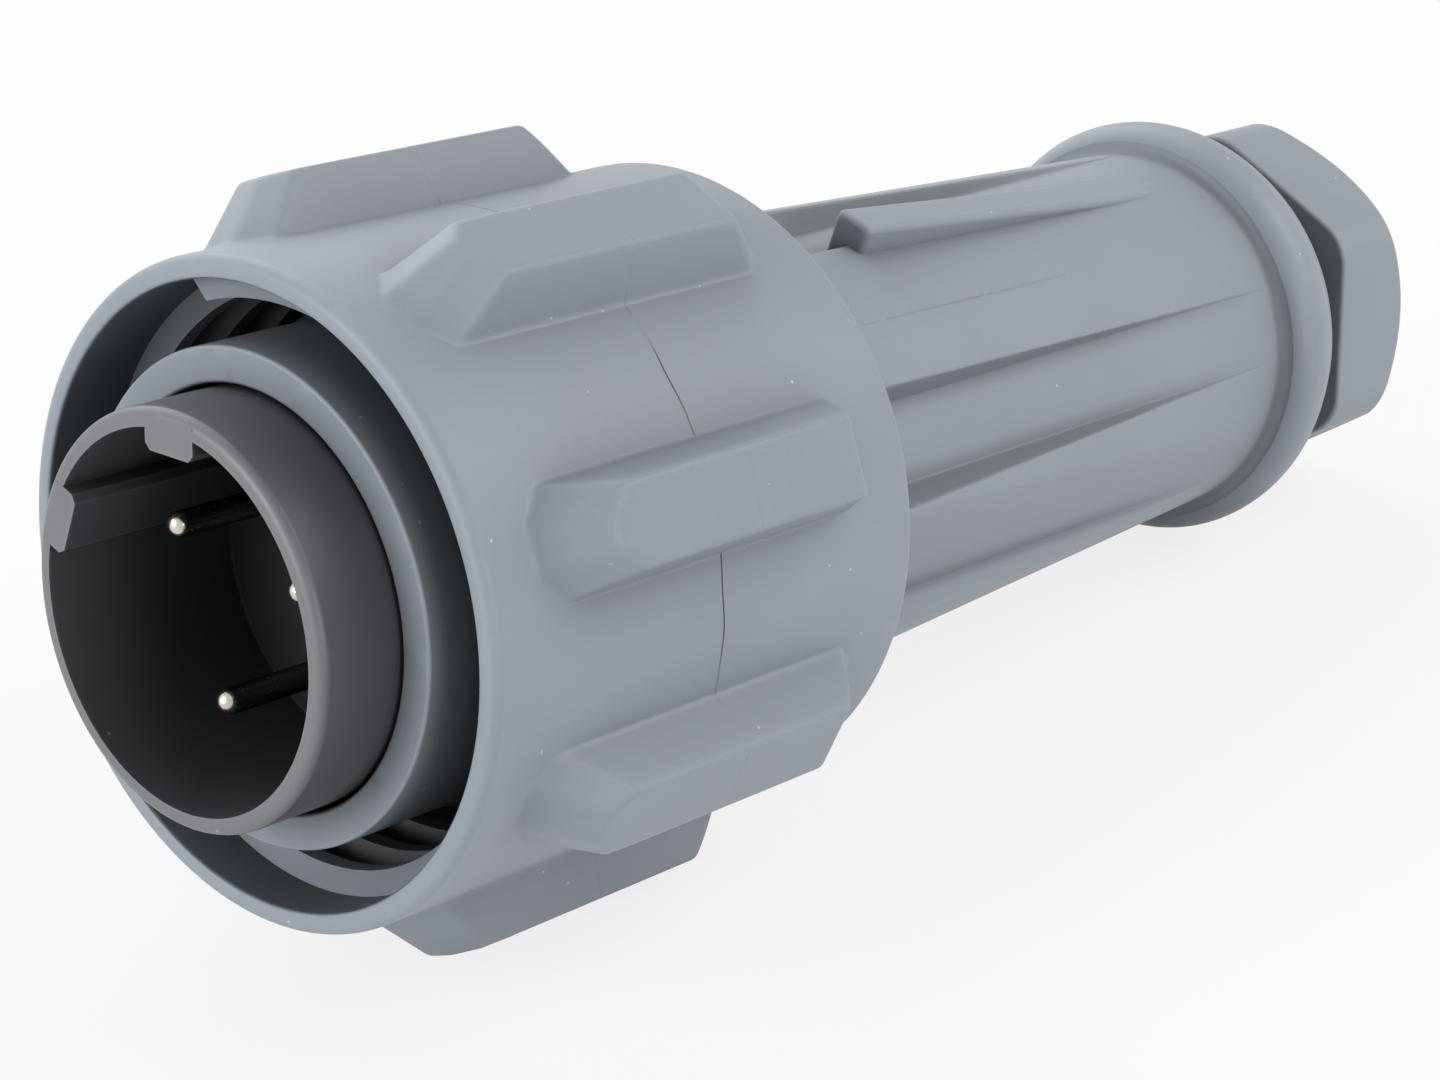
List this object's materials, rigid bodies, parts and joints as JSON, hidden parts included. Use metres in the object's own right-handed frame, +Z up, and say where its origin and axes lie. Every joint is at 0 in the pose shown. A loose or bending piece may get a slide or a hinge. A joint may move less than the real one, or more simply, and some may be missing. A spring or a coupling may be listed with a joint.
{
  "type": "circular connector",
  "caption": "Sealed circular cable plug lying on its side: ribbed screw coupling ring, fluted tapered grip with a marker ridge, keyed pin insert and a hexagon gland nut.",
  "frame": {"origin": "on the floor under the centre of the plug's box, as it lies at rest", "axes": "+X along the plug from its mating face to its cable end, +Z up; the plug's own axis drops about 7 degrees towards the cable end, because the ring is wider than the collar"},
  "size_m": [0.1264, 0.0512, 0.0533],
  "materials": {
    "grey_plastic": "fine matt",
    "insert_plastic": "matt",
    "contact_metal": "plated",
    "screw_steel": "plated",
    "seal_rubber": "matt",
    "spring_steel": "satin",
    "cage_plastic": "satin"
  },
  "bodies": {
    "plug": {"body_shell": "grey_plastic", "contact_insert": "insert_plastic", "contact_pin_1": "contact_metal", "contact_pin_2": "contact_metal", "contact_pin_3": "contact_metal", "terminal_screw_1": "screw_steel", "terminal_screw_2": "screw_steel", "terminal_screw_3": "screw_steel", "sleeve_o_ring": "seal_rubber", "retaining_clip": "spring_steel", "gland_grommet": "seal_rubber"},
    "ring": {"coupling_ring": "grey_plastic"},
    "cage": {"gland_cage": "cage_plastic"},
    "nut": {"gland_nut": "grey_plastic"}
  },
  "joints": [
    {"name": "ring_turn", "type": "hinge", "parent": "plug", "child": "ring", "pos_m": [-0.03352, 0, 0.02642], "axis": [0.9927, 0, -0.1209], "continuous": true},
    {"name": "cage_slide", "type": "slide", "parent": "plug", "child": "cage", "axis": [0.9927, 0, -0.1209], "range_m": [-0.00413, 0.00225]},
    {"name": "nut_turn", "type": "hinge", "parent": "cage", "child": "nut", "pos_m": [0.05646, 0, 0.01546], "axis": [0.9927, 0, -0.1209], "range_deg": [-990, 540]}
  ],
  "couplings": [
    {"joint": "cage_slide", "follows": "nut_turn", "m_per_rad": 0.00023873}
  ]
}
